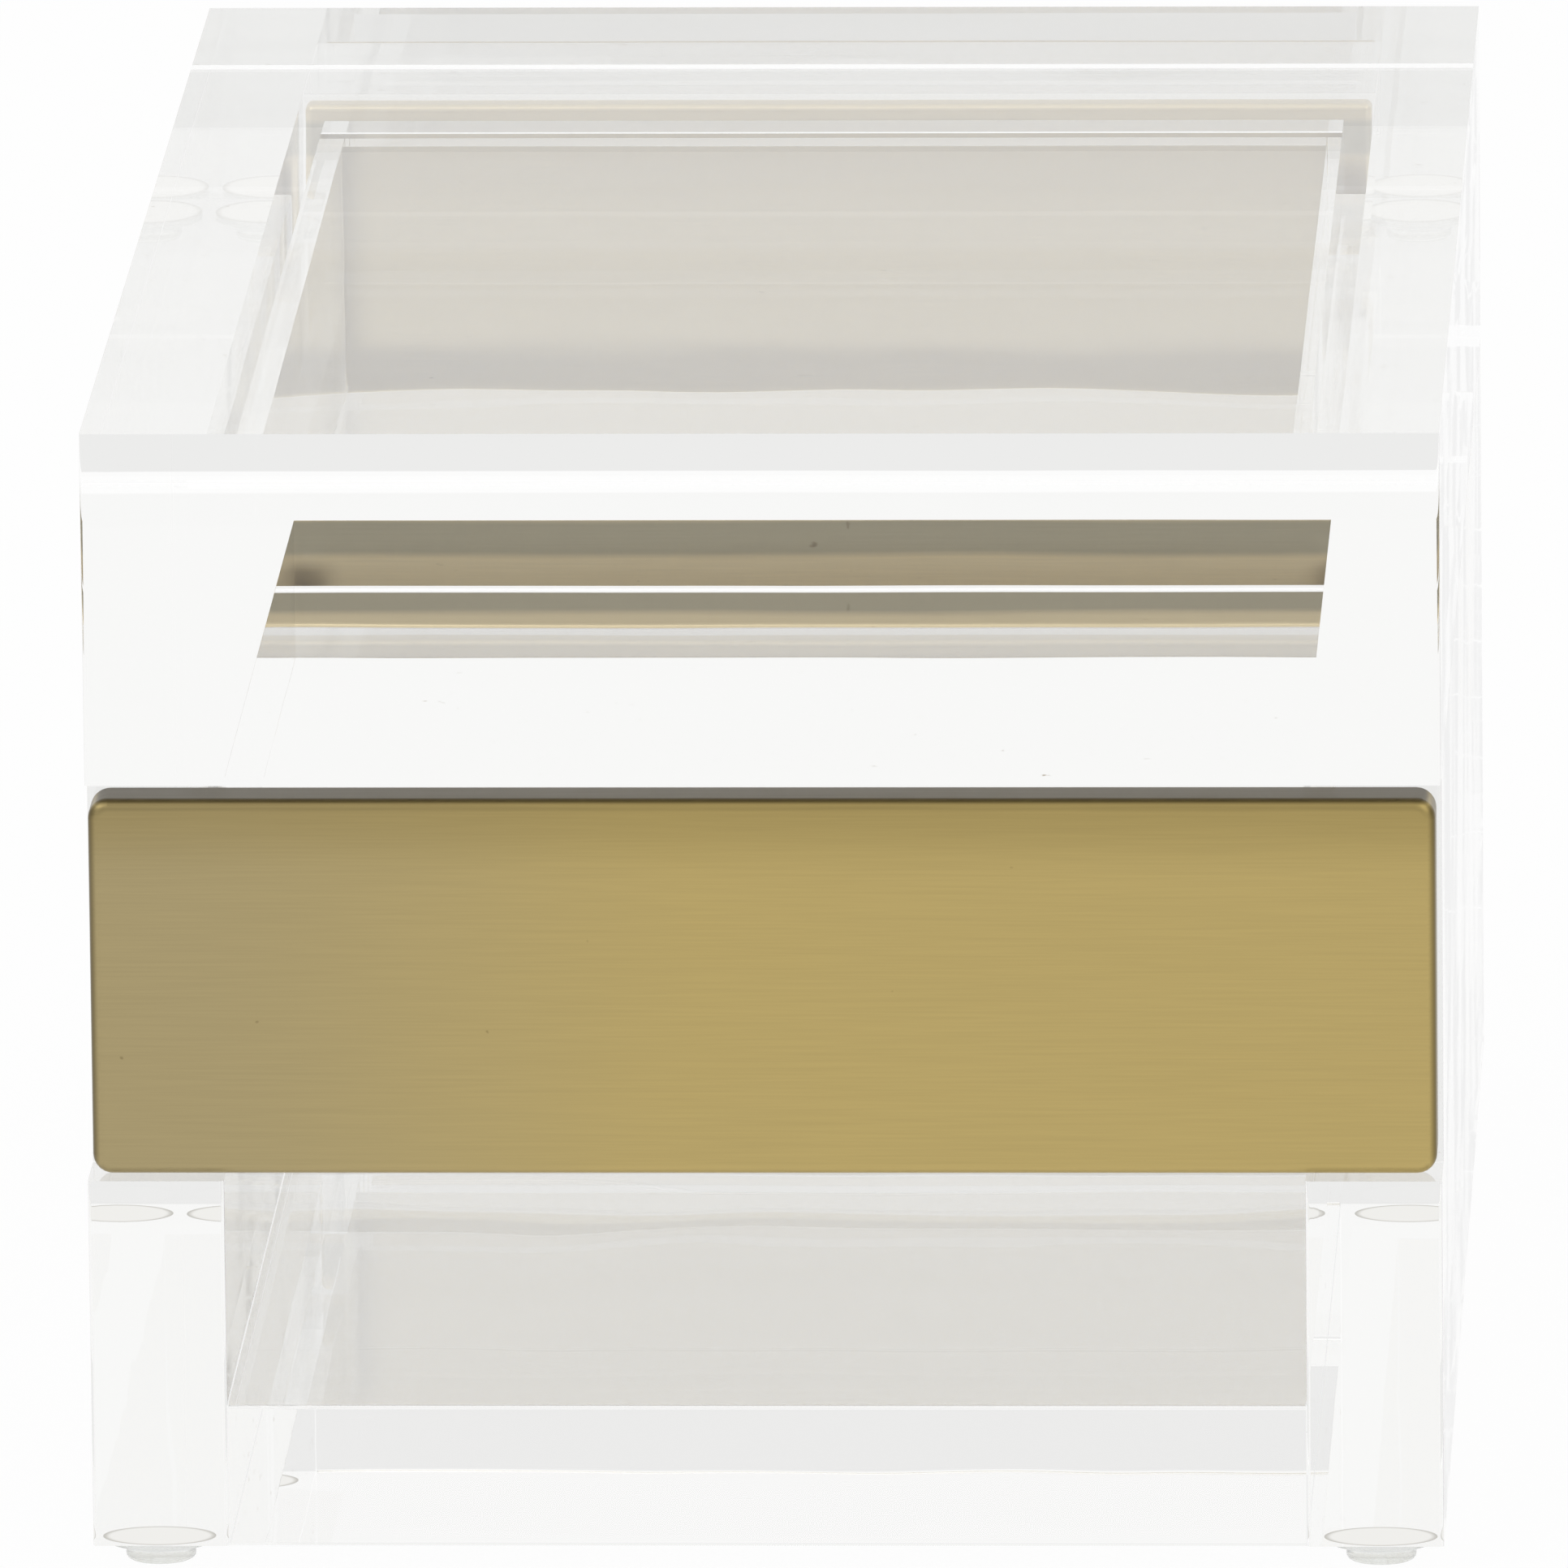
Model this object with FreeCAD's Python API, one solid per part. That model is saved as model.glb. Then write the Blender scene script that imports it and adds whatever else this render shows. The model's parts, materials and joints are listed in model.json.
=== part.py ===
"""Clear acrylic drawer box with a brass drawer front and a lift-off lid.

The box stands on four clear bumpers. A thick base plate joins two lower side
walls, and a shelf stays open above it. Thinner upper walls leave a ledge on
each side, where the tray of the drawer slides. A solid lid rests on the upper
walls and is located by a block under it.

Units are millimetres. +Z is up, the drawer opens towards -Y, and the origin
is at the centre of the bounding box's bottom face.
"""
import os

import FreeCAD
import Part

# Overall
BODY_WIDTH = 95.3
BODY_DEPTH = 152.4
CEMENT_LINE = 0.05
POLISHED_ARRIS = 0.25

# Clear bumpers under the box
FOOT_BASE_RADIUS = 4.0
FOOT_TIP_RADIUS = 2.4
FOOT_HEIGHT = 1.9
FOOT_SIDE_INSET = 4.5
FOOT_END_INSET = 4.4

# Lower tier: base plate, two side walls and a back wall
BASE_PLATE_HEIGHT = 10.2
LOWER_WALL_THICKNESS = 9.6
LOWER_WALL_HEIGHT = 26.5
BACK_WALL_THICKNESS = 12.7

# Upper tier: two side walls, a back wall that leaves a ledge, and the brass
# panel that stands on that ledge
UPPER_WALL_THICKNESS = 7.5
UPPER_WALL_HEIGHT = 27.7
UPPER_BACK_THICKNESS = 9.6
REAR_PANEL_THICKNESS = 2.4
REAR_PANEL_EDGE_RADIUS = 0.5
REAR_PANEL_SIDE_CLEARANCE = 0.3

# Drawer
DRAWER_FRONT_SETBACK = 0.4
DRAWER_FRONT_THICKNESS = 4.8
DRAWER_FRONT_EDGE_RADIUS = 0.8
DRAWER_FRONT_CORNER_RADIUS = 1.4
DRAWER_FRONT_SIDE_INSET = 0.35
DRAWER_FRONT_GAP = 0.35
TRAY_PANEL_THICKNESS = 3.0
TRAY_SIDE_CLEARANCE = 0.5
TRAY_RUNNING_CLEARANCE = 0.3
TRAY_BACK_CLEARANCE = 4.7
TRAY_LID_CLEARANCE = 1.0

# Lid
LID_THICKNESS = 25.3
LID_FRONT_SETBACK = 3.0
LID_SEAT_GAP = 0.1
LID_REAR_EDGE_RADIUS = 0.8
LID_BLOCK_THICKNESS = 5.1
LID_BLOCK_REAR_EDGE_RADIUS = 0.25
LID_BLOCK_CLEARANCE = 2.2
LID_BLOCK_FRONT_CLEARANCE = 1.6
LID_BLOCK_BACK_CLEARANCE = 7.6

# Levels, from the surface that the box stands on
BODY_BOTTOM = FOOT_HEIGHT
BASE_PLATE_TOP = BODY_BOTTOM + BASE_PLATE_HEIGHT
LOWER_WALL_TOP = BODY_BOTTOM + LOWER_WALL_HEIGHT
UPPER_WALL_BOTTOM = LOWER_WALL_TOP + CEMENT_LINE
UPPER_WALL_TOP = UPPER_WALL_BOTTOM + UPPER_WALL_HEIGHT
LID_BOTTOM = UPPER_WALL_TOP + LID_SEAT_GAP
LID_TOP = LID_BOTTOM + LID_THICKNESS
LID_BLOCK_TOP = LID_BOTTOM - CEMENT_LINE
LID_BLOCK_BOTTOM = LID_BLOCK_TOP - LID_BLOCK_THICKNESS
TRAY_FLOOR_BOTTOM = LOWER_WALL_TOP + TRAY_RUNNING_CLEARANCE
TRAY_FLOOR_TOP = TRAY_FLOOR_BOTTOM + TRAY_PANEL_THICKNESS
TRAY_WALL_BOTTOM = TRAY_FLOOR_TOP + CEMENT_LINE
TRAY_TOP = LID_BLOCK_BOTTOM - TRAY_LID_CLEARANCE
DRAWER_FRONT_BOTTOM = LOWER_WALL_TOP + DRAWER_FRONT_GAP
DRAWER_FRONT_TOP = UPPER_WALL_TOP - DRAWER_FRONT_GAP

# Places across the box
HALF_WIDTH = BODY_WIDTH / 2
LOWER_INNER_X = HALF_WIDTH - LOWER_WALL_THICKNESS
UPPER_INNER_X = HALF_WIDTH - UPPER_WALL_THICKNESS
DRAWER_FRONT_X = HALF_WIDTH - DRAWER_FRONT_SIDE_INSET
TRAY_OUTER_X = UPPER_INNER_X - TRAY_SIDE_CLEARANCE
TRAY_INNER_X = TRAY_OUTER_X - TRAY_PANEL_THICKNESS
LID_BLOCK_X = UPPER_INNER_X - LID_BLOCK_CLEARANCE
FOOT_X = HALF_WIDTH - FOOT_SIDE_INSET

# Places from front (-Y) to back (+Y)
BODY_FRONT = -BODY_DEPTH / 2
BODY_BACK = BODY_DEPTH / 2
BACK_WALL_FACE = BODY_BACK - BACK_WALL_THICKNESS
UPPER_BACK_FACE = BODY_BACK - UPPER_BACK_THICKNESS
REAR_PANEL_BACK = UPPER_BACK_FACE - CEMENT_LINE
REAR_PANEL_FACE = REAR_PANEL_BACK - REAR_PANEL_THICKNESS
DRAWER_FRONT_FACE = BODY_FRONT + DRAWER_FRONT_SETBACK
DRAWER_FRONT_BACK = DRAWER_FRONT_FACE + DRAWER_FRONT_THICKNESS
UPPER_WALL_FRONT = DRAWER_FRONT_BACK + DRAWER_FRONT_GAP
TRAY_FRONT = DRAWER_FRONT_BACK + CEMENT_LINE
TRAY_FRONT_BACK = TRAY_FRONT + TRAY_PANEL_THICKNESS
TRAY_BACK = REAR_PANEL_FACE - TRAY_BACK_CLEARANCE
TRAY_BACK_FACE = TRAY_BACK - TRAY_PANEL_THICKNESS
LID_FRONT = BODY_FRONT + LID_FRONT_SETBACK
LID_BACK = BODY_BACK
LID_BLOCK_FRONT = UPPER_WALL_FRONT + LID_BLOCK_FRONT_CLEARANCE
LID_BLOCK_BACK = REAR_PANEL_FACE - LID_BLOCK_BACK_CLEARANCE
FOOT_Y = BODY_BACK - FOOT_END_INSET


def block(x_low, x_high, y_low, y_high, z_low, z_high):
    """Return a rectangular solid between two opposite corners."""
    corner = FreeCAD.Vector(x_low, y_low, z_low)
    return Part.makeBox(x_high - x_low, y_high - y_low, z_high - z_low, corner)


def edges_along(shape, axis):
    """Return the straight edges of a shape that run along one axis."""
    found = []
    for edge in shape.Edges:
        if len(edge.Vertexes) != 2:
            continue
        run = edge.Vertexes[1].Point - edge.Vertexes[0].Point
        if run.Length > 0 and abs(abs(run.dot(axis)) - run.Length) < run.Length / 1000:
            found.append(edge)
    return found


def rounded(shape, radius):
    """Return the shape with every edge rounded."""
    return shape.makeFillet(radius, shape.Edges)


def save(node, shape):
    """Write one node's solid."""
    shape.exportStep("parts/" + node + ".step")


def save_pair(node, right_shape):
    """Write a right-hand piece and its mirror image on the left."""
    save(node + "_right", right_shape)
    centre = FreeCAD.Vector(0, 0, 0)
    across = FreeCAD.Vector(1, 0, 0)
    save(node + "_left", right_shape.mirror(centre, across))


def polished_along(shape, axis):
    """Return the shape with its edges along one axis polished round."""
    return shape.makeFillet(POLISHED_ARRIS, edges_along(shape, axis))


def polished_front(shape):
    """Return the shape with its upright front edges polished round."""
    front = shape.BoundBox.YMin
    corners = []
    for edge in edges_along(shape, FreeCAD.Vector(0, 0, 1)):
        if abs(edge.CenterOfMass.y - front) < CEMENT_LINE:
            corners.append(edge)
    return shape.makeFillet(POLISHED_ARRIS, corners)


def rear_lower_edge(shape):
    """Return the edge of a block that runs along its back, at its bottom."""
    box = shape.BoundBox
    for edge in edges_along(shape, FreeCAD.Vector(1, 0, 0)):
        middle = edge.CenterOfMass
        if abs(middle.y - box.YMax) < CEMENT_LINE and abs(middle.z - box.ZMin) < CEMENT_LINE:
            return edge
    raise ValueError("no edge along the back, at the bottom")


def wall(inner_x, front, back, bottom, top):
    """Return a right-hand side wall, its upright front edges polished round."""
    return polished_front(block(inner_x, HALF_WIDTH, front, back, bottom, top))


def base_plate():
    """Return the thick plate between the lower side walls."""
    half = LOWER_INNER_X - CEMENT_LINE
    plain = block(-half, half, BODY_FRONT, BODY_BACK, BODY_BOTTOM, BASE_PLATE_TOP)
    return polished_along(plain, FreeCAD.Vector(1, 0, 0))


def lower_back_wall():
    """Return the wall that closes the back of the open shelf."""
    half = LOWER_INNER_X - CEMENT_LINE
    bottom = BASE_PLATE_TOP + CEMENT_LINE
    plain = block(-half, half, BACK_WALL_FACE, BODY_BACK, bottom, LOWER_WALL_TOP)
    return polished_along(plain, FreeCAD.Vector(1, 0, 0))


def upper_back_wall():
    """Return the wall behind the tray, between the upper side walls."""
    half = UPPER_INNER_X - CEMENT_LINE
    bottom = UPPER_WALL_BOTTOM
    plain = block(-half, half, UPPER_BACK_FACE, BODY_BACK, bottom, UPPER_WALL_TOP)
    return polished_along(plain, FreeCAD.Vector(1, 0, 0))


def rear_panel():
    """Return the brass panel on the inner face of the upper back wall."""
    half = UPPER_INNER_X - REAR_PANEL_SIDE_CLEARANCE
    plain = block(-half, half, REAR_PANEL_FACE, REAR_PANEL_BACK,
                  DRAWER_FRONT_BOTTOM, DRAWER_FRONT_TOP)
    return rounded(plain, REAR_PANEL_EDGE_RADIUS)


def drawer_front():
    """Return the brass drawer front, with rounded corners and edges."""
    plain = block(-DRAWER_FRONT_X, DRAWER_FRONT_X, DRAWER_FRONT_FACE, DRAWER_FRONT_BACK,
                  DRAWER_FRONT_BOTTOM, DRAWER_FRONT_TOP)
    corners = edges_along(plain, FreeCAD.Vector(0, 1, 0))
    shaped = plain.makeFillet(DRAWER_FRONT_CORNER_RADIUS, corners)
    outline = []
    for edge in shaped.Edges:
        if edge.BoundBox.YLength < CEMENT_LINE:
            outline.append(edge)
    return shaped.makeFillet(DRAWER_FRONT_EDGE_RADIUS, outline)


def tray_cross_panel(front, back):
    """Return a tray panel that runs from one tray side to the other."""
    half = TRAY_INNER_X - CEMENT_LINE
    return block(-half, half, front, back, TRAY_WALL_BOTTOM, TRAY_TOP)


def tray_side():
    """Return the right-hand side of the tray."""
    return block(TRAY_INNER_X, TRAY_OUTER_X, TRAY_FRONT, TRAY_BACK,
                 TRAY_WALL_BOTTOM, TRAY_TOP)


def tray_floor():
    """Return the tray's floor, whose long edges ride on the lower walls."""
    return block(-TRAY_OUTER_X, TRAY_OUTER_X, TRAY_FRONT, TRAY_BACK,
                 TRAY_FLOOR_BOTTOM, TRAY_FLOOR_TOP)


def lid_slab():
    """Return the solid slab of the lid."""
    plain = block(-HALF_WIDTH, HALF_WIDTH, LID_FRONT, LID_BACK, LID_BOTTOM, LID_TOP)
    upright = polished_front(plain)
    return upright.makeFillet(LID_REAR_EDGE_RADIUS, [rear_lower_edge(upright)])


def lid_block():
    """Return the block under the lid that locates it between the walls."""
    plain = block(-LID_BLOCK_X, LID_BLOCK_X, LID_BLOCK_FRONT, LID_BLOCK_BACK,
                  LID_BLOCK_BOTTOM, LID_BLOCK_TOP)
    return plain.makeFillet(LID_BLOCK_REAR_EDGE_RADIUS, [rear_lower_edge(plain)])


def foot(x_sign, y_sign):
    """Return one bumper: a wide base above and a narrower tip below."""
    place = FreeCAD.Vector(x_sign * FOOT_X, y_sign * FOOT_Y, 0)
    height = FOOT_HEIGHT - CEMENT_LINE
    upwards = FreeCAD.Vector(0, 0, 1)
    return Part.makeCone(FOOT_TIP_RADIUS, FOOT_BASE_RADIUS, height, place, upwards)


def main():
    """Build every piece and write it to its own file."""
    os.makedirs("parts", exist_ok=True)
    save("base_plate", base_plate())
    save_pair("lower_wall", wall(LOWER_INNER_X, BODY_FRONT, BODY_BACK,
                                 BODY_BOTTOM, LOWER_WALL_TOP))
    save("lower_back_wall", lower_back_wall())
    save_pair("upper_wall", wall(UPPER_INNER_X, UPPER_WALL_FRONT, BODY_BACK,
                                 UPPER_WALL_BOTTOM, UPPER_WALL_TOP))
    save("upper_back_wall", upper_back_wall())
    save("rear_brass_panel", rear_panel())
    save("drawer_front", drawer_front())
    save("tray_front_panel", tray_cross_panel(TRAY_FRONT, TRAY_FRONT_BACK))
    save("tray_back_panel", tray_cross_panel(TRAY_BACK_FACE, TRAY_BACK))
    save("tray_floor", tray_floor())
    save_pair("tray_side", tray_side())
    save("lid_slab", lid_slab())
    save("lid_locating_block", lid_block())
    for x_name, x_sign in (("left", -1), ("right", 1)):
        for y_name, y_sign in (("front", -1), ("rear", 1)):
            save("foot_" + y_name + "_" + x_name, foot(x_sign, y_sign))


main()
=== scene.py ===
"""Looks of the clear acrylic drawer box: materials, bumpers, light and camera.

Everything is in metres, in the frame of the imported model. The acrylic and
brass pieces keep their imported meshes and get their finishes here. The four
bumpers are modelled here, because their soft stepped shape is finer than the
plain cones of the frame.
"""

import json
import logging
import math
from dataclasses import dataclass, field
from enum import Enum
from typing import Any, Optional

import bpy
from mathutils import Matrix, Vector

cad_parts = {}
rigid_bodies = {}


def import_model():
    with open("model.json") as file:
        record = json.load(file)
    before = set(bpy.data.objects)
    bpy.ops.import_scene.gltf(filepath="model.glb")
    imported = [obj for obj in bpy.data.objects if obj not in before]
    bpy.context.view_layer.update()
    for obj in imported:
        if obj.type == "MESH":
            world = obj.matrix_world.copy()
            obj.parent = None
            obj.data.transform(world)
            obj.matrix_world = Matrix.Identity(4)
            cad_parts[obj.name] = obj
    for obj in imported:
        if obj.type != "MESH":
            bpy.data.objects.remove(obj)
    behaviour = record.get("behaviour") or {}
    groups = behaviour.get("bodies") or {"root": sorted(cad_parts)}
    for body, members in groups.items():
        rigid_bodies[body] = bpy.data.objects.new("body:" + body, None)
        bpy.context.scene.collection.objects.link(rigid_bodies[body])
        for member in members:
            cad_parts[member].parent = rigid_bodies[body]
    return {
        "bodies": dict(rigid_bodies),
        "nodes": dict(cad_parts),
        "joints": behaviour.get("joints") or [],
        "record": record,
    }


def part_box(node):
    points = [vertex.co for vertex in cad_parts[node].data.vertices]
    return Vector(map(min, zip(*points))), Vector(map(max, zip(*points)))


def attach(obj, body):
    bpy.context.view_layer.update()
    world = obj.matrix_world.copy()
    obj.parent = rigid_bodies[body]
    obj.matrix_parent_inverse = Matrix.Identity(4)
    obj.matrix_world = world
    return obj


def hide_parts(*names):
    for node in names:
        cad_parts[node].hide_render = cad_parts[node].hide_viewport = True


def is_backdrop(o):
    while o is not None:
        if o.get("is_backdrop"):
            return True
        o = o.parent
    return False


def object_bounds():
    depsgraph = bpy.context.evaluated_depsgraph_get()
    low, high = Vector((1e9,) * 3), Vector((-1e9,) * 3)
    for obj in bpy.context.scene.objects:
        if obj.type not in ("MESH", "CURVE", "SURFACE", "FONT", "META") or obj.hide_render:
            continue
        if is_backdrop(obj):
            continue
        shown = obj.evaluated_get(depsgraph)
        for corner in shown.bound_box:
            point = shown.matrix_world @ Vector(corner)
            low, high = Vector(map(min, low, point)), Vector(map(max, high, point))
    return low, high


LOG = logging.getLogger("drawer_box")
MM = 0.001
WHITE = (1.0, 1.0, 1.0, 1.0)
# The radii of the lid's scraped edges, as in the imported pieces.
SLAB_EDGE_RADIUS = 0.8 * MM
BLOCK_EDGE_RADIUS = 0.25 * MM
# Light passes this many faces in a row before it is given up.
CLEAR_FACES = 48
SHINY_FACES = 16
JOINT_FACES = 64

Box = tuple[Vector, Vector]


class Axis(Enum):
    """A direction of the frame, by its place in a vector."""

    ACROSS = 0
    DEEP = 1
    UP = 2


class Curve(Enum):
    """How a value goes from one end of a change to the other."""

    STRAIGHT = "LINEAR"
    SOFT = "SMOOTHSTEP"
    SOFTER = "SMOOTHERSTEP"


# ----------------------------------------------------------------- helpers


def linear(hex_colour: str) -> tuple[float, float, float, float]:
    """Turn an sRGB hex colour into linear values, by the sRGB standard's curve.

    Args:
        hex_colour: Six hex digits after a hash sign.

    Returns:
        Red, green, blue and an alpha of one.
    """
    digits = hex_colour.lstrip("#")
    channels = []
    for start in (0, 2, 4):
        value = int(digits[start:start + 2], 16) / 255
        low = value / 12.92
        high = ((value + 0.055) / 1.055) ** 2.4
        channels.append(low if value <= 0.04045 else high)
    return (channels[0], channels[1], channels[2], 1.0)


def add_node(tree: bpy.types.NodeTree, kind: str, settings: Optional[dict[str, Any]] = None,
             inputs: Optional[dict[Any, Any]] = None) -> bpy.types.Node:
    """Add one shader node with its settings, values and links.

    Args:
        tree: The node tree that gets the node.
        kind: The node's Blender type name.
        settings: Properties of the node.
        inputs: Socket name or number to a value, or to the socket it is linked from.

    Returns:
        The new node.
    """
    node = tree.nodes.new(kind)
    for name, value in (settings or {}).items():
        setattr(node, name, value)
    for name, value in (inputs or {}).items():
        if isinstance(value, bpy.types.NodeSocket):
            tree.links.new(value, node.inputs[name])
        else:
            node.inputs[name].default_value = value
    return node


def calculate(tree: bpy.types.NodeTree, operation: str, *values: Any) -> bpy.types.NodeSocket:
    """Add a Math node.

    Args:
        tree: The node tree that gets the node.
        operation: The Math node's operation.
        values: Its inputs, each a number or a socket.

    Returns:
        The result's socket.
    """
    inputs = dict(enumerate(values))
    return add_node(tree, "ShaderNodeMath", {"operation": operation}, inputs).outputs[0]


def calculate_vector(tree: bpy.types.NodeTree, operation: str,
                     *values: Any) -> bpy.types.NodeSocket:
    """Add a Vector Math node whose result is a vector.

    Args:
        tree: The node tree that gets the node.
        operation: The node's operation.
        values: Its inputs, each a vector or a socket.

    Returns:
        The result's socket.
    """
    inputs = dict(enumerate(values))
    node = add_node(tree, "ShaderNodeVectorMath", {"operation": operation}, inputs)
    return node.outputs[0]


def split(tree: bpy.types.NodeTree,
          vector: bpy.types.NodeSocket) -> dict[Axis, bpy.types.NodeSocket]:
    """Split a vector into its three parts.

    Args:
        tree: The node tree that gets the node.
        vector: The socket that gives the vector.

    Returns:
        The socket of the part along each axis.
    """
    parts = add_node(tree, "ShaderNodeSeparateXYZ", None, {0: vector})
    return {axis: parts.outputs[axis.value] for axis in Axis}


def change(tree: bpy.types.NodeTree, value: bpy.types.NodeSocket, start: float, stop: float,
           first: float = 0.0, last: float = 1.0,
           curve: Curve = Curve.SOFT) -> bpy.types.NodeSocket:
    """Turn a value between two limits into a change between two results.

    Args:
        tree: The node tree that gets the node.
        value: The socket that gives the value.
        start: Where the change starts.
        stop: Where it ends.
        first: The result at the start and before it.
        last: The result at the end and past it.
        curve: The shape of the change.

    Returns:
        The result's socket.
    """
    node = add_node(tree, "ShaderNodeMapRange", {"interpolation_type": curve.value},
                    {"Value": value, "From Min": start, "From Max": stop,
                     "To Min": first, "To Max": last})
    return node.outputs[0]


def noise(tree: bpy.types.NodeTree, place: bpy.types.NodeSocket, size: float,
          detail: float = 2.0, fineness: float = 0.5) -> bpy.types.NodeSocket:
    """Add a noise.

    Args:
        tree: The node tree that gets the node.
        place: The socket that gives the point.
        size: The size of its largest blots.
        detail: How many times finer noise is added to it.
        fineness: How strong the finer noise is.

    Returns:
        The socket of the noise, about one half on average.
    """
    node = add_node(tree, "ShaderNodeTexNoise", None,
                    {"Vector": place, "Scale": 1 / size, "Detail": detail,
                     "Roughness": fineness})
    return node.outputs[0]


def mix_colours(tree: bpy.types.NodeTree, share: bpy.types.NodeSocket, first: Any,
                second: Any) -> bpy.types.NodeSocket:
    """Mix two colours.

    Args:
        tree: The node tree that gets the node.
        share: The socket that gives the second colour's share.
        first: A linear colour or a socket.
        second: The same for the other colour.

    Returns:
        The socket of the mixed colour.
    """
    node = add_node(tree, "ShaderNodeMix", {"data_type": "RGBA"},
                    {0: share, 6: first, 7: second})
    return node.outputs[2]


def mix_surfaces(tree: bpy.types.NodeTree, share: bpy.types.NodeSocket,
                 first: bpy.types.NodeSocket,
                 second: bpy.types.NodeSocket) -> bpy.types.NodeSocket:
    """Mix two surfaces.

    Args:
        tree: The node tree that gets the node.
        share: The socket that gives the second surface's share.
        first: The socket of one surface.
        second: The socket of the other.

    Returns:
        The socket of the mixed surface.
    """
    node = add_node(tree, "ShaderNodeMixShader", None, {0: share, 1: first, 2: second})
    return node.outputs[0]


def bumpy(tree: bpy.types.NodeTree, height: bpy.types.NodeSocket,
          depth: float) -> bpy.types.NodeSocket:
    """Turn a height into a normal.

    Args:
        tree: The node tree that gets the node.
        height: The socket that gives the height, from zero to one.
        depth: How deep one stands for.

    Returns:
        The socket of the normal.
    """
    node = add_node(tree, "ShaderNodeBump", None,
                    {"Height": height, "Strength": 1.0, "Distance": depth})
    return node.outputs[0]


def empty_material(name: str) -> tuple[bpy.types.Material, bpy.types.NodeTree, bpy.types.Node]:
    """Make a material with nothing in it but its output.

    Args:
        name: The material's name.

    Returns:
        The material, its node tree and its output node.
    """
    material = bpy.data.materials.new(name)
    material.use_nodes = True
    tree = material.node_tree
    tree.nodes.clear()
    output = add_node(tree, "ShaderNodeOutputMaterial")
    return material, tree, output


def point_of_piece(tree: bpy.types.NodeTree) -> bpy.types.NodeSocket:
    """Add the socket that gives the point, in the piece's own metres."""
    return add_node(tree, "ShaderNodeTexCoord").outputs["Object"]


def dress(piece: bpy.types.Object, material: bpy.types.Material) -> None:
    """Give every material slot of a piece the same material.

    Args:
        piece: The piece.
        material: Its material.
    """
    if not piece.material_slots:
        piece.data.materials.append(material)
    for slot in piece.material_slots:
        slot.material = material


def deselect_all() -> None:
    """Leave nothing selected."""
    bpy.ops.object.select_all(action="DESELECT")


def contact(first: Box, second: Box, spread: float) -> Optional[Box]:
    """Find the thin box between two pieces that are cemented face to face.

    Args:
        first: Lowest and highest corners of one piece.
        second: The same for the other piece.
        spread: The widest cement line.

    Returns:
        The thin box, a quarter of the spread thicker on each side than the
        cement, or None where the two aren't cemented.
    """
    low = [max(first[0][axis.value], second[0][axis.value]) for axis in Axis]
    high = [min(first[1][axis.value], second[1][axis.value]) for axis in Axis]
    thin = [axis.value for axis in Axis if high[axis.value] - low[axis.value] < spread]
    if len(thin) != 1:
        return None
    across = thin[0]
    if low[across] - high[across] > spread:
        return None
    margin = spread / 4
    plane_low = min(low[across], high[across]) - margin
    plane_high = max(low[across], high[across]) + margin
    low[across] = plane_low
    high[across] = plane_high
    return Vector(low), Vector(high)


def inside(tree: bpy.types.NodeTree, place: bpy.types.NodeSocket,
           region: Box) -> bpy.types.NodeSocket:
    """Tell whether a point is in a box.

    Args:
        tree: The node tree that gets the nodes.
        place: The socket that gives the point.
        region: The box's lowest and highest corners.

    Returns:
        A socket that gives one inside and zero outside.
    """
    centre = (region[0] + region[1]) / 2
    half = (region[1] - region[0]) / 2
    offset = calculate_vector(tree, "SUBTRACT", place, centre)
    size = calculate_vector(tree, "ABSOLUTE", offset)
    beyond = split(tree, calculate_vector(tree, "SUBTRACT", size, half))
    widest = calculate(tree, "MAXIMUM", beyond[Axis.ACROSS], beyond[Axis.DEEP])
    widest = calculate(tree, "MAXIMUM", widest, beyond[Axis.UP])
    return calculate(tree, "LESS_THAN", widest, 0.0)


def inside_any(tree: bpy.types.NodeTree, place: bpy.types.NodeSocket,
               regions: list[Box]) -> bpy.types.NodeSocket:
    """Tell whether a point is in any of some boxes.

    Args:
        tree: The node tree that gets the nodes.
        place: The socket that gives the point.
        regions: The boxes, at least one.

    Returns:
        A socket that gives one inside and zero outside.
    """
    mask = inside(tree, place, regions[0])
    for region in regions[1:]:
        mask = calculate(tree, "MAXIMUM", mask, inside(tree, place, region))
    return mask


# ---------------------------------------------------------------- finishes


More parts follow.
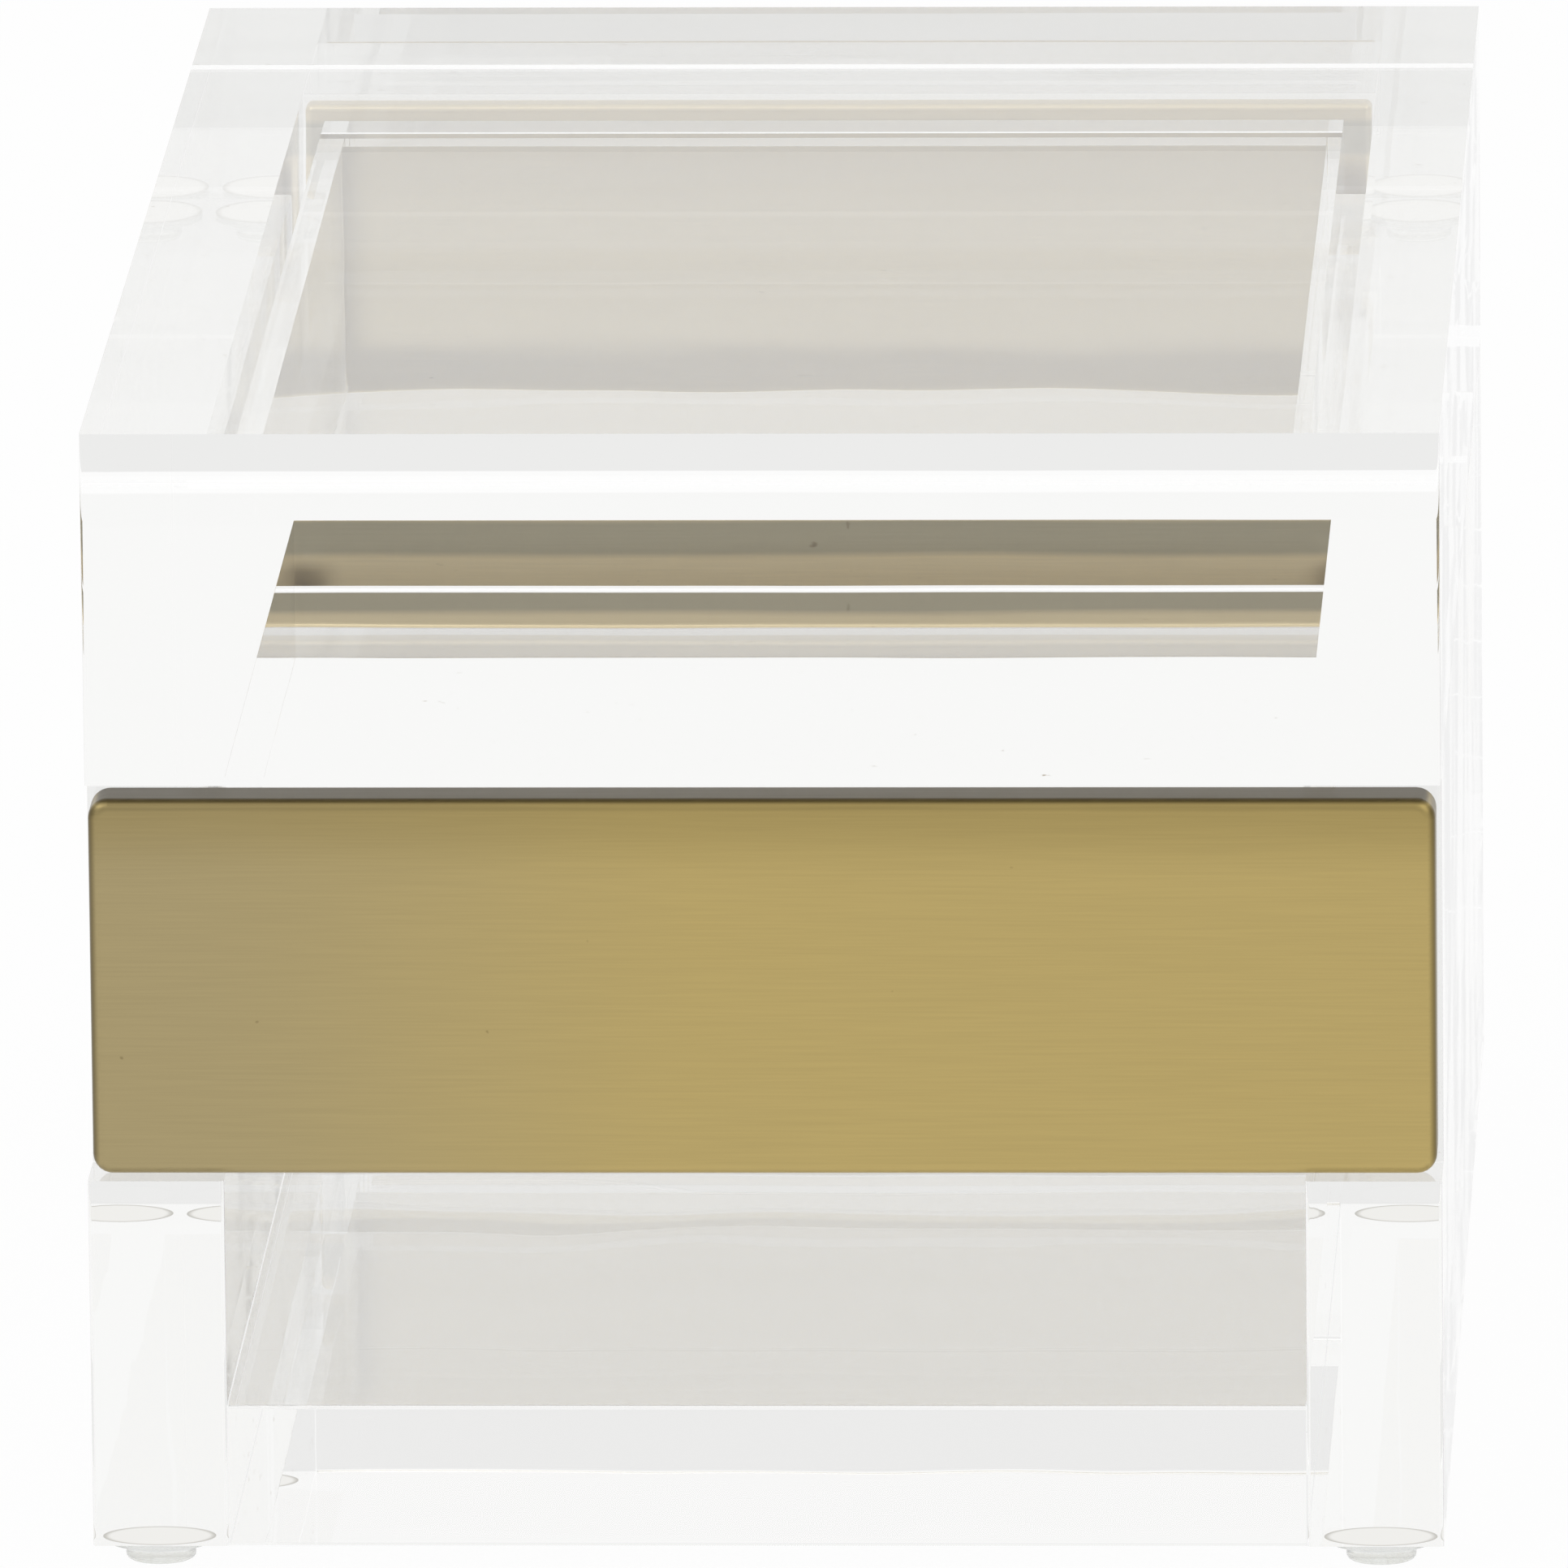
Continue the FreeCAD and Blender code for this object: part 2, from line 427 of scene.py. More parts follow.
@dataclass(frozen=True)
class CastAcrylic:
    """Cast acrylic sheet, sawn, flame polished and cemented with solvent.

    Clear and glossy. Polishing leaves faces a little wavy, so edges seen
    through them wander. A cemented joint is optically one piece, apart from
    small trapped marks along it. The scraped edges and the bumpers' pads
    give a little light of their own, which stands in for the light that
    they gather.
    """

    name: str = "cast_acrylic_flame_polished"
    colour: str = "#FEFEFD"
    index: float = 1.49
    roughness: float = 0.0
    wave_length: float = 26 * MM
    wave_height: float = 0.030 * MM
    wave_detail: float = 1.0
    wave_fineness: float = 0.35
    mark_size: float = 1.6 * MM
    mark_detail: float = 4.0
    mark_fineness: float = 0.7
    mark_colour: str = "#B9AE9A"
    mark_level: float = 0.7
    mark_blend: float = 0.12
    # Painted highlight: the scraped edges glow with this emission colour, mixed in at this
    # share.
    edge_glow_colour: str = "#FFFFFF"
    edge_glow_share: float = 0.85
    # Painted glow: the bumpers' pads are emission in these colours, darker towards the rim.
    pad_glow_colour: str = "#F0EFEC"
    pad_glow_rim: str = "#C4C2BC"
    pad_rim_from: float = 0.86
    pad_line: float = 0.12 * MM

    def scraped(self, tree: bpy.types.NodeTree, place: bpy.types.NodeSocket,
                clear: bpy.types.NodeSocket, edges: list[Box]) -> bpy.types.NodeSocket:
        """Paint a white glow, drawn as emission, on the edges that were scraped round: a
        painted highlight for the light that they gather.

        Args:
            tree: The node tree that gets the nodes.
            place: The socket that gives the point.
            clear: The clear surface.
            edges: The scraped edges, as thin boxes.

        Returns:
            The socket of the mixed surface.
        """
        # Painted highlight: the edges glow white, however they are lit.
        edge_glow_shader = add_node(tree, "ShaderNodeEmission", None,
                          {"Color": linear(self.edge_glow_colour)})
        mask = inside_any(tree, place, edges)
        share = calculate(tree, "MULTIPLY", mask, self.edge_glow_share)
        return mix_surfaces(tree, share, clear, edge_glow_shader.outputs[0])

    def padded(self, tree: bpy.types.NodeTree, place: bpy.types.NodeSocket,
               clear: bpy.types.NodeSocket, pad: Box) -> bpy.types.NodeSocket:
        """Show the round adhesive pad of a bumper through the acrylic, as a painted glow: the
        pad is emission, lighter in its middle and darker towards its rim.

        Args:
            tree: The node tree that gets the nodes.
            place: The socket that gives the point.
            clear: The surface around the pad.
            pad: The bumper's box.

        Returns:
            The socket of the mixed surface.
        """
        low, high = pad
        radius = (high.x - low.x) / 2
        middle = Vector(((low.x + high.x) / 2, (low.y + high.y) / 2, high.z))
        offset = calculate_vector(tree, "SUBTRACT", place, middle)
        flat = calculate_vector(tree, "MULTIPLY", offset, (1.0, 1.0, 0.0))
        length = add_node(tree, "ShaderNodeVectorMath", {"operation": "LENGTH"}, {0: flat})
        away = length.outputs["Value"]
        disc = calculate(tree, "LESS_THAN", away, radius)
        height = calculate(tree, "ABSOLUTE", split(tree, offset)[Axis.UP])
        level = calculate(tree, "LESS_THAN", height, self.pad_line)
        mask = calculate(tree, "MULTIPLY", disc, level)
        rim = change(tree, away, radius * self.pad_rim_from, radius)
        colour = mix_colours(tree, rim, linear(self.pad_glow_colour), linear(self.pad_glow_rim))
        # Painted glow: the pad is emission, so it shows however it is lit.
        pad_glow_shader = add_node(tree, "ShaderNodeEmission", None, {"Color": colour})
        return mix_surfaces(tree, mask, clear, pad_glow_shader.outputs[0])

    def joined(self, tree: bpy.types.NodeTree, place: bpy.types.NodeSocket,
               clear: bpy.types.NodeSocket, joints: list[Box]) -> bpy.types.NodeSocket:
        """Let light straight through the cemented joints, past small marks.

        Args:
            tree: The node tree that gets the nodes.
            place: The socket that gives the point.
            clear: The surface around the joints.
            joints: The cemented joints, as thin boxes.

        Returns:
            The socket of the mixed surface.
        """
        marks = noise(tree, place, self.mark_size, self.mark_detail, self.mark_fineness)
        spots = change(tree, marks, self.mark_level, self.mark_level + self.mark_blend,
                       curve=Curve.STRAIGHT)
        tint = mix_colours(tree, spots, WHITE, linear(self.mark_colour))
        cement = add_node(tree, "ShaderNodeBsdfTransparent", None, {"Color": tint})
        mask = inside_any(tree, place, joints)
        return mix_surfaces(tree, mask, clear, cement.outputs[0])

    def material(self, suffix: str, joints: list[Box], edges: list[Box],
                 pads: list[Box]) -> bpy.types.Material:
        """Make the finish for pieces that share a set of cemented joints.

        Args:
            suffix: Added to the finish's name.
            joints: The cemented joints, as thin boxes.
            edges: The scraped edges, as thin boxes.
            pads: The boxes of the bumpers stuck under the pieces.

        Returns:
            The material.
        """
        material, tree, output = empty_material(self.name + "_" + suffix)
        place = point_of_piece(tree)
        wave = noise(tree, place, self.wave_length, self.wave_detail, self.wave_fineness)
        clear = add_node(tree, "ShaderNodeBsdfPrincipled", None,
                         {"Base Color": linear(self.colour), "Roughness": self.roughness,
                          "IOR": self.index, "Transmission Weight": 1.0,
                          "Normal": bumpy(tree, wave, self.wave_height)})
        surface = clear.outputs[0]
        if edges:
            surface = self.scraped(tree, place, surface, edges)
        for pad in pads:
            surface = self.padded(tree, place, surface, pad)
        if joints:
            surface = self.joined(tree, place, surface, joints)
        tree.links.new(surface, output.inputs["Surface"])
        return material


@dataclass(frozen=True)
class PaintedShadeAndMottle:
    """Painted shade and reflection on a brass bar: greyer towards its left end, darker towards
    its top, and dark along its top rim and at its rounded ends. The mottle is a random change
    of tone that breaks up the change from grey to warm.

    Places are across the bar or up it. Shares say how much of the darker shade colour is mixed
    in.
    """

    # Painted shade and reflection across the bar: grey at the left end, warm from the middle.
    shaded_end: float = -47.5 * MM
    unshaded_from: float = -2.0 * MM
    mottle: float = 0.5
    # Painted shade: darker towards the top.
    shaded_top: float = 56.0 * MM
    unshaded_below: float = 49.0 * MM
    top_shade_share: float = 0.5
    # Painted shade: dark along the top rim and at the rounded ends.
    edge_from: float = 55.3 * MM
    edge_top: float = 55.7 * MM
    end_reach: float = 46.7 * MM
    end_stop: float = 47.25 * MM
    end_shade_share: float = 0.7
    rim_shade_share: float = 0.92


@dataclass(frozen=True)
class BrushedBrass:
    """Rolled brass bar, brushed lengthwise with a fine belt and left bare.

    A satin metal with fine lines along its length; painted shade and reflection make it grey
    towards its left end and darker at its top, top rim and ends, and it has a few small dark
    spots.
    """

    name: str = "brass_bar_brushed_satin"
    warm: str = "#BBA66C"
    # Painted shade and reflection: the next three colours are the grey of the left end, the
    # darker top and the dark top rim and ends.
    grey: str = "#AA9B74"
    top_shade_colour: str = "#93814F"
    edge: str = "#463C24"
    spot: str = "#5E4F2E"
    roughness: float = 0.34
    roughness_spread: float = 0.05
    # The real belt lines are about 0.05 mm apart; they are drawn coarser to show.
    line_pitch: float = 0.16 * MM
    line_length: float = 9 * MM
    line_depth: float = 0.0025 * MM
    line_contrast: float = 0.035
    line_fineness: float = 0.6
    # The noise mostly stays between these two levels.
    line_low: float = 0.3
    line_high: float = 0.7
    patch_size: float = 45 * MM
    spot_size: float = 2.6 * MM
    spot_detail: float = 3.0
    spot_fineness: float = 0.55
    spot_level: float = 0.735
    spot_blend: float = 0.05
    painted_shade_and_mottle: PaintedShadeAndMottle = PaintedShadeAndMottle()

    def base_colour(self, tree: bpy.types.NodeTree, place: bpy.types.NodeSocket,
                    patches: bpy.types.NodeSocket) -> bpy.types.NodeSocket:
        """Colour the bar with painted shade and reflection, from its grey left end, darker top
        and dark edges to its warm middle.

        Args:
            tree: The node tree that gets the nodes.
            place: The socket that gives the point.
            patches: A slow noise that breaks up the change.

        Returns:
            The socket of the colour.
        """
        where = self.painted_shade_and_mottle
        parts = split(tree, place)
        # Painted shade and reflection: grey towards the left end, broken up by the mottle.
        along = change(tree, parts[Axis.ACROSS], where.shaded_end, where.unshaded_from)
        mottled = calculate(tree, "MULTIPLY_ADD", patches, where.mottle, -where.mottle / 2)
        warmth = calculate(tree, "ADD", along, mottled)
        base = mix_colours(tree, warmth, linear(self.grey), linear(self.warm))
        # Painted shade: darker towards the top.
        top = change(tree, parts[Axis.UP], where.unshaded_below, where.shaded_top,
                     last=where.top_shade_share, curve=Curve.SOFTER)
        top_shaded = mix_colours(tree, top, base, linear(self.top_shade_colour))
        # Painted shade: dark at the rounded ends and along the top rim.
        reach = calculate(tree, "ABSOLUTE", parts[Axis.ACROSS])
        end = change(tree, reach, where.end_reach, where.end_stop, last=where.end_shade_share)
        rim = change(tree, parts[Axis.UP], where.edge_from, where.edge_top,
                     last=where.rim_shade_share)
        edge = calculate(tree, "MAXIMUM", rim, end)
        return mix_colours(tree, edge, top_shaded, linear(self.edge))

    def material(self) -> bpy.types.Material:
        """Make the finish.

        Returns:
            The material.
        """
        material, tree, output = empty_material(self.name)
        place = point_of_piece(tree)
        across = 1 / self.line_pitch
        stretched = add_node(tree, "ShaderNodeMapping", None,
                             {"Vector": place, "Scale": (1 / self.line_length, across, across)})
        lines = noise(tree, stretched.outputs[0], 1.0, fineness=self.line_fineness)
        patches = noise(tree, place, self.patch_size)
        spots = noise(tree, place, self.spot_size, self.spot_detail, self.spot_fineness)
        base = self.base_colour(tree, place, patches)
        line_shade = change(tree, lines, self.line_low, self.line_high,
                            1.0 - self.line_contrast, 1.0 + self.line_contrast,
                            Curve.STRAIGHT)
        brushed = add_node(tree, "ShaderNodeVectorMath", {"operation": "SCALE"},
                           {0: base, "Scale": line_shade})
        spotted = change(tree, spots, self.spot_level, self.spot_level + self.spot_blend,
                         curve=Curve.STRAIGHT)
        colour = mix_colours(tree, spotted, brushed.outputs[0], linear(self.spot))
        roughness = change(tree, lines, 0.0, 1.0, self.roughness - self.roughness_spread,
                           self.roughness + self.roughness_spread, Curve.STRAIGHT)
        metal = add_node(tree, "ShaderNodeBsdfPrincipled", None,
                         {"Base Color": colour, "Metallic": 1.0, "Roughness": roughness,
                          "Normal": bumpy(tree, lines, self.line_depth)})
        tree.links.new(metal.outputs[0], output.inputs["Surface"])
        return material


@dataclass(frozen=True)
class PolishedSheet(BrushedBrass):
    """Thin brass sheet, polished, paler towards its bottom, with a border along its top that
    holds a darker grey band.

    The face towards the tray is the polished one. The other face keeps the
    colour of the rolled sheet. Heights are up the box, and reverse_from lies
    within the sheet's thickness.
    """

    name: str = "brass_sheet_polished"
    roughness: float = 0.3
    pale: str = "#EADCB6"
    soft: str = "#D6C69E"
    border: str = "#DDCDA9"
    # The border holds a darker grey band, set by height only.
    grey_band: str = "#ABA38B"
    reverse: str = "#CDB67A"
    low: float = 28.0 * MM
    high: float = 57.0 * MM
    pale_to: float = 43.0 * MM
    soft_to: float = 49.0 * MM
    border_from: float = 49.5 * MM
    grey_band_from: float = 51.8 * MM
    grey_band_to: float = 54.4 * MM
    blend: float = 0.5 * MM
    wander: float = 1.0 * MM
    reverse_from: float = 66.0 * MM

    def base_colour(self, tree: bpy.types.NodeTree, place: bpy.types.NodeSocket,
                    patches: bpy.types.NodeSocket) -> bpy.types.NodeSocket:
        """Colour the sheet by height, and its reverse side plainly.

        Args:
            tree: The node tree that gets the nodes.
            place: The socket that gives the point.
            patches: A slow noise that makes the borders wander.

        Returns:
            The socket of the colour.
        """
        parts = split(tree, place)
        shift = calculate(tree, "MULTIPLY_ADD", patches, self.wander, -self.wander / 2)
        height = calculate(tree, "ADD", parts[Axis.UP], shift)
        share = change(tree, height, self.low, self.high, curve=Curve.STRAIGHT)
        ramp = add_node(tree, "ShaderNodeValToRGB", None, {0: share})
        stops = ((self.pale_to, self.pale), (self.soft_to, self.soft),
                 (self.border_from, self.border), (self.grey_band_from, self.border),
                 (self.grey_band_from + self.blend, self.grey_band),
                 (self.grey_band_to, self.grey_band), (self.grey_band_to + self.blend, self.border))
        elements = ramp.color_ramp.elements
        elements.remove(elements[1])
        for index, (level, colour) in enumerate(stops):
            position = (level - self.low) / (self.high - self.low)
            element = elements[0] if index == 0 else elements.new(position)
            element.position = position
            element.color = linear(colour)
        behind = calculate(tree, "GREATER_THAN", parts[Axis.DEEP], self.reverse_from)
        return mix_colours(tree, behind, ramp.outputs[0], linear(self.reverse))


@dataclass(frozen=True)
class ClearBumperRubber:
    """Soft clear polyurethane, cast in a dome.

    Clear and a little hazy, greyer than the acrylic.
    """

    name: str = "polyurethane_bumper_cast_clear"
    colour: str = "#F4F5F3"
    index: float = 1.5
    least_haze: float = 0.07
    most_haze: float = 0.2
    haze_size: float = 1.5 * MM

    def material(self) -> bpy.types.Material:
        """Make the finish.

        Returns:
            The material.
        """
        material, tree, output = empty_material(self.name)
        haze = noise(tree, point_of_piece(tree), self.haze_size)
        roughness = change(tree, haze, 0.0, 1.0, self.least_haze, self.most_haze,
                           Curve.STRAIGHT)
        clear = add_node(tree, "ShaderNodeBsdfPrincipled", None,
                         {"Base Color": linear(self.colour), "IOR": self.index,
                          "Roughness": roughness, "Transmission Weight": 1.0})
        tree.links.new(clear.outputs[0], output.inputs["Surface"])
        return material


# ------------------------------------------------------------ sub-assemblies


@dataclass
class AcrylicGroup:
    """Acrylic pieces of one body, cemented to each other.

    scraped names the pieces with a scraped edge and that edge's radius, and
    bumpers names the bumpers that are stuck under the group.
    """

    title: str
    nodes: tuple[str, ...]
    scraped: tuple[tuple[str, float], ...] = ()
    bumpers: tuple[str, ...] = ()
    finish: CastAcrylic = field(default_factory=CastAcrylic)
    cement_line: float = 0.12 * MM
    # The box of a scraped edge is this much wider than the edge's radius.
    edge_margin: float = 1.02

    def joints(self) -> list[Box]:
        """Find every cemented joint between two pieces of the group.

        Returns:
            The joints, as thin boxes.
        """
        boxes = {name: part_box(name) for name in self.nodes}
        found = []
        for place, first in enumerate(self.nodes):
            for second in self.nodes[place + 1:]:
                joint = contact(boxes[first], boxes[second], self.cement_line)
                if joint is not None:
                    found.append(joint)
        return found

    def edges(self) -> list[Box]:
        """Find the rounded lower rear edges that were scraped by hand, where the painted edge
        glow goes.

        Returns:
            The edges, as thin boxes.
        """
        found = []
        for name, radius in self.scraped:
            low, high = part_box(name)
            reach = radius * self.edge_margin
            found.append((Vector((low.x, high.y - reach, low.z - reach)),
                          Vector((high.x, high.y + reach, low.z + reach))))
        return found

    def build(self, frame: dict[str, Any]) -> list[bpy.types.Object]:
        """Dress the group's pieces.


        Returns:
            The pieces.
        """
        pads = [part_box(name) for name in self.bumpers]
        material = self.finish.material(self.title, self.joints(), self.edges(), pads)
        pieces = [frame["nodes"][name] for name in self.nodes]
        for piece in pieces:
            dress(piece, material)
            LOG.info("dressed %s", piece.name)
        return pieces


@dataclass
class BrassWork:
    """The brass drawer front and the brass panel behind the tray."""

    front_node: str = "drawer_front"
    rear_node: str = "rear_brass_panel"
    front_finish: BrushedBrass = field(default_factory=BrushedBrass)
    rear_finish: PolishedSheet = field(default_factory=PolishedSheet)

    def build(self, frame: dict[str, Any]) -> list[bpy.types.Object]:
        """Dress the brass pieces.


        Returns:
            The pieces.
        """
        pieces = []
        for name, finish in ((self.front_node, self.front_finish),
                             (self.rear_node, self.rear_finish)):
            piece = frame["nodes"][name]
            dress(piece, finish.material())
            LOG.info("dressed %s", piece.name)
            pieces.append(piece)
        return pieces


@dataclass
class Bumpers:
    """Four stick-on bumpers, modelled once and copied.

    tip_share is the tip's radius as a share of the flange's.
    """

    nodes: tuple[str, ...] = ("foot_front_left", "foot_front_right",
                              "foot_rear_left", "foot_rear_right")
    body: str = "housing"
    slot: str = "bumper"
    flange: float = 0.45 * MM
    tip_share: float = 0.62
    edge_round: float = 0.35 * MM
    edge_steps: int = 4
    sides: int = 48
    # A face counts as the underside where its normal points down this far.
    underside: float = -0.9
    crease_degrees: float = 40.0
    finish: ClearBumperRubber = field(default_factory=ClearBumperRubber)

    def model(self, low: Vector, high: Vector) -> bpy.types.Object:
        """Model one bumper: a flat flange above and a domed tip below.

        Args:
            low: The lowest corner of the frame's bumper.
            high: Its highest corner.

        Returns:
            The bumper, with its place in its mesh.
        """
        radius = (high.x - low.x) / 2
        centre = (low + high) / 2
        deselect_all()
        bpy.ops.mesh.primitive_cylinder_add(
            vertices=self.sides, radius=radius, depth=self.flange,
            location=(centre.x, centre.y, high.z - self.flange / 2))
        bumper = bpy.context.object
        bpy.ops.object.mode_set(mode="EDIT")
        bpy.ops.mesh.select_mode(type="FACE")
        bpy.ops.mesh.select_all(action="DESELECT")
        bpy.ops.object.mode_set(mode="OBJECT")
        for face in bumper.data.polygons:
            face.select = face.normal.z < self.underside
        bpy.ops.object.mode_set(mode="EDIT")
        bpy.ops.mesh.inset(thickness=radius * (1 - self.tip_share))
        drop = (high.z - self.flange) - low.z
        bpy.ops.mesh.extrude_region_move(
            TRANSFORM_OT_translate={"value": (0.0, 0.0, -drop)})
        bpy.ops.mesh.bevel(offset=self.edge_round, segments=self.edge_steps, affect="EDGES")
        bpy.ops.mesh.select_all(action="SELECT")
        bpy.ops.mesh.normals_make_consistent(inside=False)
        bpy.ops.object.mode_set(mode="OBJECT")
        bpy.ops.object.shade_smooth_by_angle(angle=math.radians(self.crease_degrees))
        bpy.ops.object.transform_apply(location=True, rotation=True, scale=True)
        return bumper

    def build(self) -> list[bpy.types.Object]:
        """Model the first bumper, copy it to the other places and dress all four.

        Returns:
            The bumpers.
        """
        material = self.finish.material()
        first_low, first_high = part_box(self.nodes[0])
        first = self.model(first_low, first_high)
        pieces = []
        for name in self.nodes:
            low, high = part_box(name)
            piece = first if name == self.nodes[0] else first.copy()
            if piece is not first:
                piece.data = first.data.copy()
                piece.data.transform(Matrix.Translation(low - first_low))
                bpy.context.scene.collection.objects.link(piece)
            piece.name = "bumper_" + name[len("foot_"):]
            dress(piece, material)
            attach(piece, self.body)
            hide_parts(name)
            LOG.info("modelled %s", piece.name)
            pieces.append(piece)
        return pieces


# -------------------------------------------------------------------- stage


@dataclass
class Studio:
    """A pale floor, a white surround and two soft lamps.

    The two values that end in through tone the floor and the surround down
    where they are seen through clear pieces, whose faces light crosses many
    times.
    """

    floor_size: float = 6.0
    floor_colour: str = "#F2F2F0"
    floor_glow: float = 0.97
    floor_through: float = 0.85
    side_shade: float = 0.45
    side_from: float = 0.55
    side_to: float = 0.95
    front_shade: float = 0.25
    front_from: float = -0.4
    front_to: float = -0.95
    surround_strength: float = 0.75
    surround_through: float = 0.95
    lamp_size: float = 0.9
    key_power: float = 2.2
    key_place: tuple[float, float, float] = (-0.55, -0.35, 1.0)
    fill_power: float = 1.1
    fill_place: tuple[float, float, float] = (0.7, -0.6, 0.7)

    def floor(self) -> None:
        """Add the floor, which shows as white and keeps a soft shadow."""
        deselect_all()
        bpy.ops.mesh.primitive_plane_add(size=self.floor_size, location=(0.0, 0.0, 0.0))
        plane = bpy.context.object
        plane.name = "studio_floor"
        material, tree, output = empty_material("studio_paper_matt")
        path = add_node(tree, "ShaderNodeLightPath")
        seen = calculate(tree, "MAXIMUM", path.outputs["Is Camera Ray"],
                         path.outputs["Is Glossy Ray"])
        seen = calculate(tree, "MAXIMUM", seen, path.outputs["Is Transmission Ray"])
        share = calculate(tree, "MULTIPLY", seen, self.floor_glow)
        paper = add_node(tree, "ShaderNodeBsdfDiffuse", None,
                         {"Color": linear(self.floor_colour)})
        dimmed = calculate(tree, "SUBTRACT", 1.0, self.floor_through)
        level = calculate(tree, "MULTIPLY", path.outputs["Is Transmission Ray"], dimmed)
        strength = calculate(tree, "SUBTRACT", 1.0, level)
        glow = add_node(tree, "ShaderNodeEmission", None,
                        {"Color": WHITE, "Strength": strength})
        shown = mix_surfaces(tree, share, paper.outputs[0], glow.outputs[0])
        tree.links.new(shown, output.inputs["Surface"])
        dress(plane, material)
        plane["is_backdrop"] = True

    def surround(self) -> None:
        """Add the world: white to the camera, and elsewhere darker to the sides."""
        world = bpy.data.worlds.new("studio_surround")
        bpy.context.scene.world = world
        world.use_nodes = True
        tree = world.node_tree
        tree.nodes.clear()
        direction = add_node(tree, "ShaderNodeTexCoord").outputs["Generated"]
        parts = split(tree, direction)
        sideways = calculate(tree, "ABSOLUTE", parts[Axis.ACROSS])
        side = change(tree, sideways, self.side_from, self.side_to,
                      1.0, 1.0 - self.side_shade)
        front = change(tree, parts[Axis.DEEP], self.front_from, self.front_to,
                       1.0, 1.0 - self.front_shade)
        shade = calculate(tree, "MULTIPLY", side, front)
        path = add_node(tree, "ShaderNodeLightPath")
        lit = calculate(tree, "MULTIPLY", shade, self.surround_strength)
        seen = calculate(tree, "MAXIMUM", path.outputs["Is Glossy Ray"],
                         path.outputs["Is Transmission Ray"])
        gap = calculate(tree, "SUBTRACT", shade, lit)
        level = calculate(tree, "MULTIPLY_ADD", gap, seen, lit)
        camera_gap = calculate(tree, "SUBTRACT", 1.0, level)
        shown = calculate(tree, "MULTIPLY_ADD", camera_gap,
                          path.outputs["Is Camera Ray"], level)
        dimming = calculate(tree, "MULTIPLY", path.outputs["Is Transmission Ray"],
                            1.0 - self.surround_through)
        kept = calculate(tree, "SUBTRACT", 1.0, dimming)
        strength = calculate(tree, "MULTIPLY", shown, kept)
        background = add_node(tree, "ShaderNodeBackground", None,
                              {"Color": WHITE, "Strength": strength})
        add_node(tree, "ShaderNodeOutputWorld", None, {"Surface": background.outputs[0]})

    def lamp(self, name: str, power: float, place: tuple[float, float, float],
             target: Vector) -> None:
        """Add one square soft lamp that faces the object.

        Args:
            name: The lamp's name.
            power: Its power in watts.
            place: Where it hangs.
            target: The point that it faces.
        """
        deselect_all()
        bpy.ops.object.light_add(type="AREA", location=place)
        lamp = bpy.context.object
        lamp.name = name
        lamp.data.shape = "SQUARE"
        lamp.data.size = self.lamp_size
        lamp.data.energy = power
        facing = target - Vector(place)
        lamp.rotation_euler = facing.to_track_quat("-Z", "Y").to_euler()

    def build(self, target: Vector) -> None:
        """Add the floor, the surround and the lamps.

        Args:
            target: The point that the lamps face.
        """
        self.floor()
        self.surround()
        self.lamp("key_softbox", self.key_power, self.key_place, target)
        self.lamp("fill_softbox", self.fill_power, self.fill_place, target)


